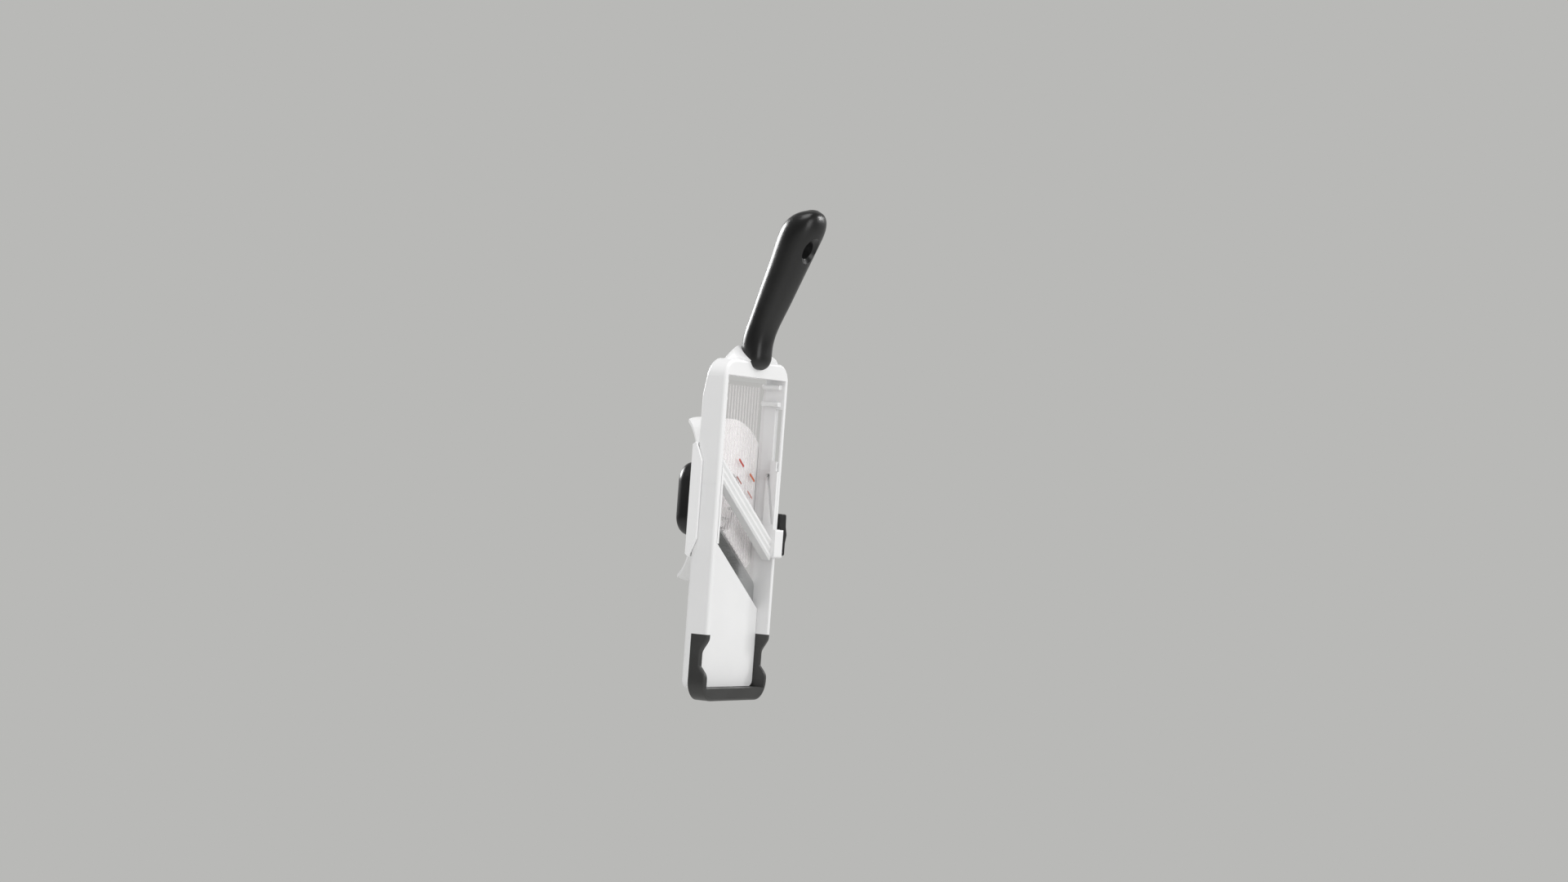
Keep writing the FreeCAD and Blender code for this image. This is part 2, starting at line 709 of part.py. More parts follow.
def thumb_grip():
    out = CLIP_EDGE + THUMB_T
    low = CLIP_Z0 + 2
    mid = (low + THUMB_TOP_Z) / 2
    wave = (THUMB_TOP_Z - low) / 5
    outline = [
        (CLIP_EDGE, low),
        (CLIP_EDGE, CLIP_Z1),
        (CLIP_FACE, CLIP_Z1),
        (CLIP_FACE, THUMB_TOP_Z),
        (out - 1.0, THUMB_TOP_Z),
        (out - 0.4, mid + wave),
        (out + THUMB_BULGE, mid),
        (out, mid - wave),
        (out, low),
    ]
    grip = prism_xz(outline, -CLIP_T, CLIP_DEPTH - 1)
    grip = fillet(grip, 1.6, lambda b: b.XMin > out - 2 and b.YLength > 1)
    return fillet(grip, 0.9, lambda b: b.XMin > out - 2 and b.YMax < 0 and b.ZLength > 1)


def guard_disc():
    disc = rod_y(0, GUARD_Z, GUARD_Y, GUARD_TOP_Y, GUARD_R)
    return disc.common(box(-SKIRT_OUT, SKIRT_OUT, 0, WIDTH, 0, WINDOW_TOP))


def guard_shields():
    # Finger shields: the rim raised at both ends and sloping down to the sides
    r = GUARD_R
    top = SHIELD_TOP_Y
    b = SHIELD_BREAK
    profile = [
        (r - SHIELD_T, GUARD_Y),
        (r, GUARD_Y),
        (r, top - b),
        (r - b, top),
        (r - SHIELD_T + b, top),
        (r - SHIELD_T, top - b),
    ]
    rim = spun(profile).common(box(-SKIRT_OUT, SKIRT_OUT, 0, WIDTH, 0, WINDOW_TOP))
    return rim.cut(pair(shield_slope()))


def shield_slope():
    # Wedge above the sloping edge of a shield
    run = SHIELD_FOOT_HALF - SHIELD_TOP_HALF
    fall = SHIELD_TOP_Y - GUARD_TOP_Y
    corners = [
        V(SHIELD_TOP_HALF - run, SHIELD_TOP_Y + fall, 0),
        V(SHIELD_FOOT_HALF, GUARD_TOP_Y, 0),
        V(WIDTH, GUARD_TOP_Y, 0),
        V(WIDTH, SHIELD_TOP_Y + fall, 0),
    ]
    return Part.Face(Part.makePolygon(corners + corners[:1])).extrude(Z_AXIS * WINDOW_TOP)


def guard_skirt():
    outline = [
        (GUARD_Z - SKIRT_LOW_HALF, SKIRT_LOW_Y),
        (GUARD_Z + SKIRT_LOW_HALF, SKIRT_LOW_Y),
        (GUARD_Z + SKIRT_TOP_HALF, GUARD_Y),
        (GUARD_Z + SKIRT_TOP_HALF - 2, GUARD_TOP_Y),
        (GUARD_Z - SKIRT_TOP_HALF + 2, GUARD_TOP_Y),
        (GUARD_Z - SKIRT_TOP_HALF, GUARD_Y),
    ]
    return prism_zy(outline, SKIRT_IN, SKIRT_OUT)


def guard_shell():
    tower = rod_y(0, GUARD_Z, GUARD_Y, TOWER_TOP_Y, TOWER_R)
    tower = fillet(tower, 2.5, lambda b: b.YMin > TOWER_TOP_Y - 1)
    shell = guard_disc().fuse([guard_shields(), tower] + pair(guard_skirt()))
    room = rod_y(0, GUARD_Z, 0, TOWER_TOP_Y - TOWER_WALL, TOWER_R - TOWER_WALL)
    bore = rod_y(0, GUARD_Z, 0, WIDTH, STEM_R + STEM_FIT)
    return shell.cut([room, bore]).removeSplitter()


def knob_block(inset):
    # A square puck with round corners and a soft top edge
    half = KNOB_HALF - inset
    top = KNOB_TOP_Y - inset
    block = box(-half, half, KNOB_LOW_Y + inset / 2, top, GUARD_Z - half, GUARD_Z + half)
    block = fillet(block, KNOB_CORNER_R - inset, lambda b: b.YLength > 1)
    return fillet(block, KNOB_ROUND - inset, lambda b: b.YMin > top - 0.1)


def knob_room():
    return rod_y(0, GUARD_Z, 0, TOWER_TOP_Y + 1.5, KNOB_BORE)


def knob_core():
    core = knob_block(KNOB_SKIN).cut(knob_room())
    return core.cut(rod_y(0, GUARD_Z, 0, KNOB_TOP_Y - KNOB_SKIN - 2, STEM_R))


def knob_grip():
    ball = KNOB_HALF * KNOB_HALF / (2 * KNOB_DISH)
    dish = Part.makeSphere(ball, V(0, KNOB_TOP_Y + ball - KNOB_DISH / 2, GUARD_Z))
    grip = knob_block(0.0).cut(dish)
    return grip.cut([knob_block(KNOB_SKIN), knob_room()])


def plunger_stem():
    stem = rod_y(0, GUARD_Z, PUSHER_Y + PUSHER_T, KNOB_TOP_Y - KNOB_SKIN - 2, STEM_R)
    return stem.cut(rod_y(0, GUARD_Z, 0, PUSHER_Y + SCREW_LEN, SCREW_R))


def prong_places():
    out = []
    for i in range(PRONGS):
        t = 2 * math.pi * (i + 0.5) / PRONGS
        out.append((PRONG_RING * math.cos(t), GUARD_Z + PRONG_RING * math.sin(t)))
    return out


def pusher_plate():
    top = PUSHER_Y + PUSHER_T
    plate = rod_y(0, GUARD_Z, PUSHER_Y, top, PUSHER_R)
    plate = plate.fuse(rod_y(0, GUARD_Z, PUSHER_Y, PUSHER_Y + HUB_H, HUB_R))
    holes = [rod_y(0, GUARD_Z, top, WIDTH, STEM_R)]
    holes.append(rod_y(0, GUARD_Z, 0, WIDTH, SCREW_R))
    holes.append(rod_y(0, GUARD_Z, 0, PUSHER_Y + SCREW_HEAD_H, SCREW_HEAD_R))
    for x, z in prong_places():
        holes.append(rod_y(x, z, 0, PUSHER_Y + PRONG_SEAT, PRONG_R))
    return plate.cut(holes).removeSplitter()


def prongs():
    spikes = []
    for x, z in prong_places():
        shank = rod_y(x, z, PRONG_TIP_Y + PRONG_POINT, PUSHER_Y + PRONG_SEAT, PRONG_R)
        tip = Part.makeCone(PRONG_R / 6, PRONG_R, PRONG_POINT, V(x, PRONG_TIP_Y, z), Y_AXIS)
        spikes.append(shank.fuse(tip).removeSplitter())
    return Part.makeCompound(spikes)


def stem_screw():
    head = rod_y(0, GUARD_Z, PUSHER_Y, PUSHER_Y + SCREW_HEAD_H, SCREW_HEAD_R)
    shank = rod_y(0, GUARD_Z, PUSHER_Y, PUSHER_Y + SCREW_LEN, SCREW_R)
    arm = SCREW_HEAD_R * 0.6
    slots = [
        box(-arm, arm, 0, PUSHER_Y + 0.6, GUARD_Z - 0.4, GUARD_Z + 0.4),
        box(-0.4, 0.4, 0, PUSHER_Y + 0.6, GUARD_Z - arm, GUARD_Z + arm),
    ]
    return head.fuse(shank).cut(slots).removeSplitter()


def plunger_spring():
    # Conical coil, made of half turns, between the tower's roof and the pusher plate
    low = PUSHER_Y + PUSHER_T + COIL_WIRE + COIL_SEAT
    high = TOWER_TOP_Y - TOWER_WALL - COIL_WIRE - COIL_SEAT
    halves = int(2 * COIL_TURNS)
    rise = (high - low) / halves
    grow = rise * math.tan(math.radians(COIL_CONE))
    turns = []
    for i in range(halves):
        way = 1 - 2 * (i % 2)
        start = V(way * (COIL_LOW_R + grow * i), low + rise * i, GUARD_Z)
        end = V(-way * (COIL_LOW_R + grow * (i + 1)), low + rise * (i + 1), GUARD_Z)
        middle = (start + end) / 2
        wire = Part.Face(Part.Wire(Part.makeCircle(COIL_WIRE, start, Z_AXIS)))
        turns.append(wire.revolve(middle, (start - middle).cross(Z_AXIS) * way, 180))
    return turns[0].fuse(turns[1:])


def build():
    foot = end_foot()
    return {
        "main_frame": main_frame(foot),
        "handle_grip": handle_grip(),
        "end_foot": foot,
        "blade": blade(),
        "blade_rivets": blade_rivets(),
        "deck_cover": deck_cover(),
        "ramp_panel": ramp_panel(),
        "cam_pins": cam_pins(),
        "thickness_bar": thickness_bar_body(),
        "left_cam_plate": left_cam_plate(),
        "right_cam_plate": right_cam_plate(),
        "stop_pin": stop_pin(),
        "click_spring": click_spring(),
        "thumb_grip": thumb_grip(),
        "guard_shell": guard_shell(),
        "knob_core": knob_core(),
        "knob_grip": knob_grip(),
        "plunger_stem": plunger_stem(),
        "pusher_plate": pusher_plate(),
        "prongs": prongs(),
        "stem_screw": stem_screw(),
        "plunger_spring": plunger_spring(),
    }


os.makedirs("parts", exist_ok=True)
for name, shape in build().items():
    shape.translate(hole_centre() * -1)
    shape.exportStep("parts/" + name + ".step")
    b = shape.optimalBoundingBox(False)
    size = [round(v, 1) for v in (b.XMin, b.XMax, b.YMin, b.YMax, b.ZMin, b.ZMax)]
    print(name, shape.isValid(), len(shape.Solids), round(shape.Volume), size)
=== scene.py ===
import math

import bmesh
import bpy
from mathutils import Matrix, Vector


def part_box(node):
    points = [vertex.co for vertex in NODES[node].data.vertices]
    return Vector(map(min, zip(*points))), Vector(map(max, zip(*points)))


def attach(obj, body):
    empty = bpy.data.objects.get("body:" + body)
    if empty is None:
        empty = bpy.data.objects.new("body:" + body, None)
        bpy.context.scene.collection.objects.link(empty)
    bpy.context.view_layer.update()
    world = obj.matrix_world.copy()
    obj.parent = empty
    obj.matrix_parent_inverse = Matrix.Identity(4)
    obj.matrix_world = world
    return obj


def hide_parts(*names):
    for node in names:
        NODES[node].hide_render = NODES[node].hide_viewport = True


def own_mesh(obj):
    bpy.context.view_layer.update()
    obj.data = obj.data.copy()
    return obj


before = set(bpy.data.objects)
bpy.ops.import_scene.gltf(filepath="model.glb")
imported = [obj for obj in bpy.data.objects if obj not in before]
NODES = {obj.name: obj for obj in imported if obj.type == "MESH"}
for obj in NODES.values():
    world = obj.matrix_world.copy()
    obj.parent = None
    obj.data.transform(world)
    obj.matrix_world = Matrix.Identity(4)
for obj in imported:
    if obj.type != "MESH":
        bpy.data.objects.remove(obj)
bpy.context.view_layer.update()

bl_info = {
    "name": "Mandoline Slicer",
    "version": (1, 0, 0),
    "blender": (4, 5, 0),
    "location": "View3D > Sidebar > Slicer",
    "description": "Finishes a hand-held mandoline slicer with its ramp, blade and food holder",
    "category": "Object",
}

MM = 0.001

# The blade, the bar and the ramp marks all run down to the right at this angle
BLADE_ANGLE = math.radians(36)

# Panel and ribs of the ramp together, and how far below the rib tops the painted highlight on
# them begins and ends
RAMP_THICKNESS = 2.2 * MM
RIB_HIGHLIGHT_START = 0.55 * MM
RIB_HIGHLIGHT_FULL = 0.3 * MM

# The first mark's place on the ramp, and the steps from it to the marks beside and below
FIRST_MARK = Vector((13.1 * MM, 0, -166.2 * MM))
MARK_ACROSS = Vector((17.7 * MM, 0, -10.6 * MM))
MARK_DOWN = Vector((-1.8 * MM, 0, -13.2 * MM))
# Name, colour and share of the full width; the second pair is thinner and duller than the first
MARKS = (
    ("red", "B8423C", 1.0),
    ("orange", "CC6A48", 1.0),
    ("dark_red", "9A5048", 0.6),
    ("pale_red", "C08078", 0.6),
)

# The camera looks at the middle of the frame, and one lamp is turned to the grip
FRAME_MIDDLE = Vector((0, 25.05 * MM, -178.8 * MM))
GRIP_MIDDLE = Vector((0, 0, -20 * MM))
# Focal length and shift of the lens, in pixels of a picture this wide
PICTURE_WIDTH = 1920
FOCAL_PIXELS = 4300
SHIFT_X_PIXELS = 40.9
SHIFT_Y_PIXELS = 48.0
SENSOR_WIDTH = 36
FLOOR_RADIUS = 0.8


def linear(code):
    """Turns an sRGB hex colour into linear red, green and blue."""
    channels = [int(code[i:i + 2], 16) / 255 for i in (0, 2, 4)]
    return [c / 12.92 if c <= 0.04045 else ((c + 0.055) / 1.055) ** 2.4 for c in channels]


class SlicerSizes(bpy.types.PropertyGroup):
    """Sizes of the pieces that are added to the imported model, and of the stage."""

    mark_length: bpy.props.FloatProperty(
        name="Mark length", description="Length of each printed mark on the ramp",
        default=9.5 * MM, unit="LENGTH")
    mark_width: bpy.props.FloatProperty(
        name="Mark width", description="Full width of a printed mark on the ramp",
        default=1.8 * MM, unit="LENGTH")
    mark_height: bpy.props.FloatProperty(
        name="Mark height", description="Thickness of the printed ink",
        default=0.12 * MM, unit="LENGTH")
    spring_travel: bpy.props.FloatProperty(
        name="Spring travel", description="How much the plunger's spring shortens at full lift",
        default=7.1 * MM, unit="LENGTH")
    floor_drop: bpy.props.FloatProperty(
        name="Floor drop", description="Distance from the foot down to the floor",
        default=0.26, unit="LENGTH")
    camera_distance: bpy.props.FloatProperty(
        name="Camera distance", description="Distance from the camera to the middle of the frame",
        default=2.654, unit="LENGTH")
    camera_turn: bpy.props.FloatProperty(
        name="Camera turn", description="Direction of the camera round the slicer",
        default=math.radians(-60), subtype="ANGLE")
    camera_roll: bpy.props.FloatProperty(
        name="Camera roll", description="Lean of the slicer in the picture",
        default=math.radians(4.2), subtype="ANGLE")


class SlicerColours(bpy.types.PropertyGroup):
    """Colours of the slicer's finishes and of the stage."""

    white: bpy.props.FloatVectorProperty(
        name="Frame white", description="Moulded white ABS of the frame and the setting bar",
        default=linear("E6E6E6"), subtype="COLOR", min=0, max=1)
    holder: bpy.props.FloatVectorProperty(
        name="Holder white", description="Moulded white polypropylene of the food holder",
        default=linear("F0F0F0"), subtype="COLOR", min=0, max=1)
    black: bpy.props.FloatVectorProperty(
        name="Black", description="Soft black rubber of the handle, thumb and knob grips",
        default=linear("1B1B1B"), subtype="COLOR", min=0, max=1)
    foot: bpy.props.FloatVectorProperty(
        name="Foot black", description="Duller black rubber of the foot",
        default=linear("393938"), subtype="COLOR", min=0, max=1)
    core: bpy.props.FloatVectorProperty(
        name="Knob core", description="Hard black plastic inside the knob",
        default=linear("1E1E1F"), subtype="COLOR", min=0, max=1)
    clear: bpy.props.FloatVectorProperty(
        name="Clear", description="Tint of the clear ramp",
        default=linear("FBFAFA"), subtype="COLOR", min=0, max=1)
    steel: bpy.props.FloatVectorProperty(
        name="Steel", description="Steel of the blade, prongs, pins and springs",
        default=linear("CFD0D0"), subtype="COLOR", min=0, max=1)
    backdrop: bpy.props.FloatVectorProperty(
        name="Backdrop", description="Plain grey behind the slicer",
        default=linear("B9B9B7"), subtype="COLOR", min=0, max=1)
    paper: bpy.props.FloatVectorProperty(
        name="Floor paper", description="Pale paper under the slicer",
        default=linear("C9C9C7"), subtype="COLOR", min=0, max=1)


def node(tree, kind, inputs=None, **settings):
    """Adds one node; inputs gives each socket a value or the output that feeds it."""
    made = tree.nodes.new(kind)
    for name, value in settings.items():
        setattr(made, name, value)
    for socket, value in (inputs or {}).items():
        if isinstance(value, bpy.types.NodeSocket):
            tree.links.new(value, made.inputs[socket])
        else:
            made.inputs[socket].default_value = value
    return made


def new_material(name):
    """A new material, its empty node tree and the coordinates of the object that wears it."""
    material = bpy.data.materials.new(name)
    material.use_nodes = True
    tree = material.node_tree
    tree.nodes.clear()
    return material, tree, node(tree, "ShaderNodeTexCoord").outputs["Object"]


def close_material(material, tree, surface):
    """Joins the surface to the material's output."""
    node(tree, "ShaderNodeOutputMaterial", {"Surface": surface.outputs[0]})
    return material


def rgba(colour, share=1):
    """A colour, or a darker or paler share of it, as a socket takes it."""
    return (*[c * share for c in colour], 1)


def moulded_white(name, colour):
    # White ABS, or polypropylene on the food holder, from a spark-eroded mould: an even satin
    # with a broad, soft highlight. The grain is about 0.3 mm on the real part and is drawn at
    # 0.9 mm so that it shows.
    material, tree, place = new_material(name)
    tone = node(tree, "ShaderNodeTexNoise", {
        "Vector": place, "Scale": 1 / (45 * MM), "Detail": 2})
    shade = node(tree, "ShaderNodeValToRGB", {0: tone.outputs[0]})
    shade.color_ramp.elements[0].position = 0.3
    shade.color_ramp.elements[0].color = rgba(colour, 0.97)
    shade.color_ramp.elements[1].position = 0.7
    shade.color_ramp.elements[1].color = rgba(colour)
    handling = node(tree, "ShaderNodeTexNoise", {
        "Vector": place, "Scale": 1 / (14 * MM), "Detail": 4})
    gloss = node(tree, "ShaderNodeMapRange", {
        0: handling.outputs[0], 1: 0.3, 2: 0.7, 3: 0.3, 4: 0.42})
    grain = node(tree, "ShaderNodeTexNoise", {
        "Vector": place, "Scale": 1 / (0.9 * MM), "Detail": 2})
    relief = node(tree, "ShaderNodeBump", {
        "Height": grain.outputs[0], "Strength": 0.06, "Distance": 0.1 * MM})
    surface = node(tree, "ShaderNodeBsdfPrincipled", {
        "Base Color": shade.outputs[0], "Roughness": gloss.outputs[0], "IOR": 1.53,
        "Normal": relief.outputs[0]})
    return close_material(material, tree, surface)


def moulded_rubber(name, colour, rough):
    # Black thermoplastic rubber moulded over the plastic: dark, with a wide dull sheen and a
    # fine matt grain of about 0.4 mm, drawn at 1.1 mm so that it shows. Handling wears patches
    # of it a little smoother.
    material, tree, place = new_material(name)
    dust = node(tree, "ShaderNodeTexNoise", {
        "Vector": place, "Scale": 1 / (22 * MM), "Detail": 5})
    shade = node(tree, "ShaderNodeValToRGB", {0: dust.outputs[0]})
    shade.color_ramp.elements[0].position = 0.35
    shade.color_ramp.elements[0].color = rgba(colour, 0.86)
    shade.color_ramp.elements[1].position = 0.72
    shade.color_ramp.elements[1].color = rgba(colour, 1.1)
    wear = node(tree, "ShaderNodeMapRange", {
        0: dust.outputs[0], 1: 0.3, 2: 0.7, 3: rough * 0.88, 4: rough * 1.12})
    grain = node(tree, "ShaderNodeTexNoise", {
        "Vector": place, "Scale": 1 / (1.1 * MM), "Detail": 3})
    relief = node(tree, "ShaderNodeBump", {
        "Height": grain.outputs[0], "Strength": 0.12, "Distance": 0.15 * MM})
    surface = node(tree, "ShaderNodeBsdfPrincipled", {
        "Base Color": shade.outputs[0], "Roughness": wear.outputs[0], "IOR": 1.5,
        "Sheen Weight": 0.04, "Sheen Roughness": 0.5, "Normal": relief.outputs[0]})
    return close_material(material, tree, surface)


def moulded_polypropylene(colour):
    # Hard black polypropylene inside the knob: a little glossier than the rubber round it, with
    # faint paler flow patches about 9 mm across.
    material, tree, place = new_material("moulded_black_polypropylene")
    flow = node(tree, "ShaderNodeTexNoise", {
        "Vector": place, "Scale": 1 / (9 * MM), "Detail": 3})
    shade = node(tree, "ShaderNodeValToRGB", {0: flow.outputs[0]})
    shade.color_ramp.elements[0].position = 0.3
    shade.color_ramp.elements[0].color = rgba(colour)
    shade.color_ramp.elements[1].position = 0.7
    shade.color_ramp.elements[1].color = rgba(colour, 1.2)
    gloss = node(tree, "ShaderNodeMapRange", {
        0: flow.outputs[0], 1: 0.3, 2: 0.7, 3: 0.28, 4: 0.4})
    surface = node(tree, "ShaderNodeBsdfPrincipled", {
        "Base Color": shade.outputs[0], "Roughness": gloss.outputs[0], "IOR": 1.49})
    return close_material(material, tree, surface)


def clear_san(colour, rib_top):
    # Clear SAN from a polished mould: it shows what is behind it, a little hazy, and its faces
    # wave very slightly every few millimetres. The tops of its ribs are painted a little white, a
    # painted highlight that shows them as pale lines.
    # Real SAN has an index of about 1.57. It is much lower here, so that the ribs darken the
    # white behind them less. Lamp and room light pass straight through to what lies behind it.
    material, tree, place = new_material("moulded_clear_san")
    flow = node(tree, "ShaderNodeTexNoise", {
        "Vector": place, "Scale": 1 / (7 * MM), "Detail": 2})
    relief = node(tree, "ShaderNodeBump", {
        "Height": flow.outputs[0], "Strength": 0.05, "Distance": 0.2 * MM})
    haze = node(tree, "ShaderNodeMapRange", {
        0: flow.outputs[0], 1: 0.3, 2: 0.7, 3: 0.02, 4: 0.07})
    polished = node(tree, "ShaderNodeBsdfPrincipled", {
        "Base Color": rgba(colour), "Roughness": haze.outputs[0], "IOR": 1.06,
        "Transmission Weight": 1.0, "Normal": relief.outputs[0]})
    # Painted highlight: matt white on the rib tops stands in for the light along the rib edges
    painted_rib_highlight = node(tree, "ShaderNodeBsdfDiffuse", {"Color": rgba(colour)})
    depth = node(tree, "ShaderNodeSeparateXYZ", {0: place}).outputs["Y"]
    share = node(tree, "ShaderNodeMapRange", {
        0: depth, 1: rib_top - RIB_HIGHLIGHT_START, 2: rib_top - RIB_HIGHLIGHT_FULL, 3: 0.0, 4: 0.3})
    surface = node(tree, "ShaderNodeMixShader", {
        0: share.outputs[0], 1: polished.outputs[0], 2: painted_rib_highlight.outputs[0]})
    through = node(tree, "ShaderNodeBsdfTransparent", {"Color": rgba(colour)})
    path = node(tree, "ShaderNodeLightPath")
    lighting = node(tree, "ShaderNodeMath", {
        0: path.outputs["Is Shadow Ray"], 1: path.outputs["Is Diffuse Ray"]},
        operation="MAXIMUM")
    both = node(tree, "ShaderNodeMixShader", {
        0: lighting.outputs[0], 1: surface.outputs[0], 2: through.outputs[0]})
    return close_material(material, tree, both)


def ground_steel(name, colour, turn, rough):
    # Stainless steel ground along its length: the scratches are about 0.1 mm apart and are
    # drawn at 0.6 mm, 40 times as long as wide, so that they stretch the reflections.
    material, tree, place = new_material(name)
    along = node(tree, "ShaderNodeMapping", {
        "Vector": place, "Rotation": (0, turn, 0), "Scale": (1 / 40, 1, 1)})
    scratch = node(tree, "ShaderNodeTexNoise", {
        "Vector": along.outputs[0], "Scale": 1 / (0.6 * MM), "Detail": 3})
    gloss = node(tree, "ShaderNodeMapRange", {
        0: scratch.outputs[0], 1: 0.3, 2: 0.7, 3: rough * 0.8, 4: rough * 1.25})
    relief = node(tree, "ShaderNodeBump", {
        "Height": scratch.outputs[0], "Strength": 0.04, "Distance": 0.05 * MM})
    surface = node(tree, "ShaderNodeBsdfPrincipled", {
        "Base Color": rgba(colour), "Metallic": 1.0, "Roughness": gloss.outputs[0],
        "Normal": relief.outputs[0]})
    return close_material(material, tree, surface)


def printed_ink(name, colour):
    # Pad-printed ink: flat and matt, a little uneven where the pad lifted.
    material, tree, place = new_material(name)
    uneven = node(tree, "ShaderNodeTexNoise", {
        "Vector": place, "Scale": 1 / (2 * MM), "Detail": 3})
    shade = node(tree, "ShaderNodeValToRGB", {0: uneven.outputs[0]})
    shade.color_ramp.elements[0].position = 0.3
    shade.color_ramp.elements[0].color = rgba(colour, 0.85)
    shade.color_ramp.elements[1].position = 0.7
    shade.color_ramp.elements[1].color = rgba(colour)
    surface = node(tree, "ShaderNodeBsdfPrincipled", {
        "Base Color": shade.outputs[0], "Roughness": 0.55})
    return close_material(material, tree, surface)


def studio_paper(colour):
    # Matt paper for the floor: pale, with hardly any shine and faint bumps about 3 mm across.
    material, tree, place = new_material("matt_studio_paper")
    fibre = node(tree, "ShaderNodeTexNoise", {
        "Vector": place, "Scale": 1 / (3 * MM), "Detail": 3})
    relief = node(tree, "ShaderNodeBump", {
        "Height": fibre.outputs[0], "Strength": 0.05, "Distance": 0.2 * MM})
    surface = node(tree, "ShaderNodeBsdfPrincipled", {
        "Base Color": rgba(colour), "Roughness": 0.9, "Normal": relief.outputs[0]})
    return close_material(material, tree, surface)


def dress(material, *names):
    """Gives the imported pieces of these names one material."""
    for name in names:
        mesh = NODES[name].data
        mesh.materials.clear()
        mesh.materials.append(material)


def add_object(name, shape, material):
    """Makes a finished shape into an object of the scene."""
    mesh = bpy.data.meshes.new(name)
    shape.to_mesh(mesh)
    shape.free()
    mesh.materials.append(material)
    made = bpy.data.objects.new(name, mesh)
    bpy.context.scene.collection.objects.link(made)
    return made


def finish_piece(name, shape, material, body):
    """Makes a finished shape into a piece that moves with a body."""
    bmesh.ops.recalc_face_normals(shape, faces=shape.faces)
    piece = add_object(name, shape, material)
    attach(piece, body)
    return piece


class SLICER_OT_white_pieces(bpy.types.Operator):
    """Finish the frame, the setting bar and the food holder in moulded white plastic"""

    bl_idname = "slicer.white_pieces"
    bl_label = "White pieces"

    def execute(self, context):
        colours = context.scene.slicer_colours
        dress(moulded_white("moulded_white_abs", colours.white),
              "main_frame", "deck_cover", "thickness_bar", "left_cam_plate", "right_cam_plate",
              "stop_pin", "blade_rivets")
        dress(moulded_white("moulded_white_polypropylene", colours.holder),
              "guard_shell", "plunger_stem", "pusher_plate")
        return {"FINISHED"}


class SLICER_OT_black_pieces(bpy.types.Operator):
    """Finish the grips, the foot and the knob in black"""

    bl_idname = "slicer.black_pieces"
    bl_label = "Black pieces"

    def execute(self, context):
        colours = context.scene.slicer_colours
        dress(moulded_rubber("moulded_black_rubber", colours.black, 0.34),
              "handle_grip", "thumb_grip", "knob_grip")
        dress(moulded_rubber("moulded_foot_rubber", colours.foot, 0.46), "end_foot")
        dress(moulded_polypropylene(colours.core), "knob_core")
        return {"FINISHED"}


class SLICER_OT_clear_ramp(bpy.types.Operator):
    """Finish the ramp in clear plastic"""

    bl_idname = "slicer.clear_ramp"
    bl_label = "Clear ramp"

    def execute(self, context):
        rib_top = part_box("ramp_panel")[1].y
        dress(clear_san(context.scene.slicer_colours.clear, rib_top), "ramp_panel")
        return {"FINISHED"}


class SLICER_OT_steel_pieces(bpy.types.Operator):
    """Finish the blade, prongs, pins and springs in steel"""

    bl_idname = "slicer.steel_pieces"
    bl_label = "Steel pieces"

    def execute(self, context):
        steel = context.scene.slicer_colours.steel
        dress(ground_steel("ground_blade_steel", steel, BLADE_ANGLE, 0.2), "blade")
        dress(ground_steel("drawn_steel_wire", steel, 0, 0.3),
              "cam_pins", "prongs", "stem_screw", "plunger_spring", "click_spring")
        return {"FINISHED"}


class SLICER_OT_plunger_spring(bpy.types.Operator):
    """Show the plunger's spring as one coil that moves with the food holder"""

    bl_idname = "slicer.plunger_spring"
    bl_label = "Plunger spring"

    def execute(self, context):
        packed = NODES["plunger_spring"].data
        shape = bmesh.new()
        shape.from_mesh(packed)
        bmesh.ops.remove_doubles(shape, verts=shape.verts, dist=0.002 * MM)
        wire = packed.materials[0]
        coil = finish_piece("plunger_spring_coil", shape, wire, "guard")
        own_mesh(coil)
        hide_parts("plunger_spring")
        return {"FINISHED"}


class SLICER_OT_ramp_marks(bpy.types.Operator):
    """Print the four plain setting marks on the ramp"""

    bl_idname = "slicer.ramp_marks"
    bl_label = "Ramp marks"

    def execute(self, context):
        sizes = context.scene.slicer_sizes
        height = sizes.mark_height
        lean = Matrix.Rotation(BLADE_ANGLE, 3, "Y")
        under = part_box("ramp_panel")[1].y - RAMP_THICKNESS
        for index, (label, code, share) in enumerate(MARKS):
            width = sizes.mark_width * share
            shape = bmesh.new()
            bmesh.ops.create_cube(shape, size=1)
            bmesh.ops.scale(shape, verts=shape.verts, vec=(sizes.mark_length, height, width))
            upright = [e for e in shape.edges if abs((e.verts[0].co - e.verts[1].co).y) > 0]
            bmesh.ops.bevel(shape, geom=upright, offset=width * 0.3, affect="EDGES",
                            segments=3, profile=0.5, material=-1)
            # The ink is on the underside and sinks a tenth of its thickness into it
            spot = FIRST_MARK + MARK_ACROSS * (index % 2) + MARK_DOWN * (index // 2)
            spot.y = under - height * 0.4
            bmesh.ops.rotate(shape, verts=shape.verts, cent=(0, 0, 0), matrix=lean)
            bmesh.ops.translate(shape, verts=shape.verts, vec=spot)
            ink = printed_ink("printed_ink_" + label, linear(code))
            finish_piece("ramp_mark_" + label, shape, ink, "ramp")
        return {"FINISHED"}


def lamp(name, place, aim, width, height, power, spread=math.pi, gloss_only=False):
    """A soft oblong lamp, turned to the point that it lights and never seen itself."""
    data = bpy.data.lights.new(name, "AREA")
    data.shape = "RECTANGLE"
    data.size = width
    data.size_y = height
    data.energy = power
    data.spread = spread
    made = bpy.data.objects.new(name, data)
    made.visible_camera = False
    made.visible_transmission = False
    made.visible_diffuse = not gloss_only
    made.location = place
    made.rotation_mode = "QUATERNION"
    made.rotation_quaternion = (aim - place).to_track_quat("-Z", "Y")
    bpy.context.scene.collection.objects.link(made)


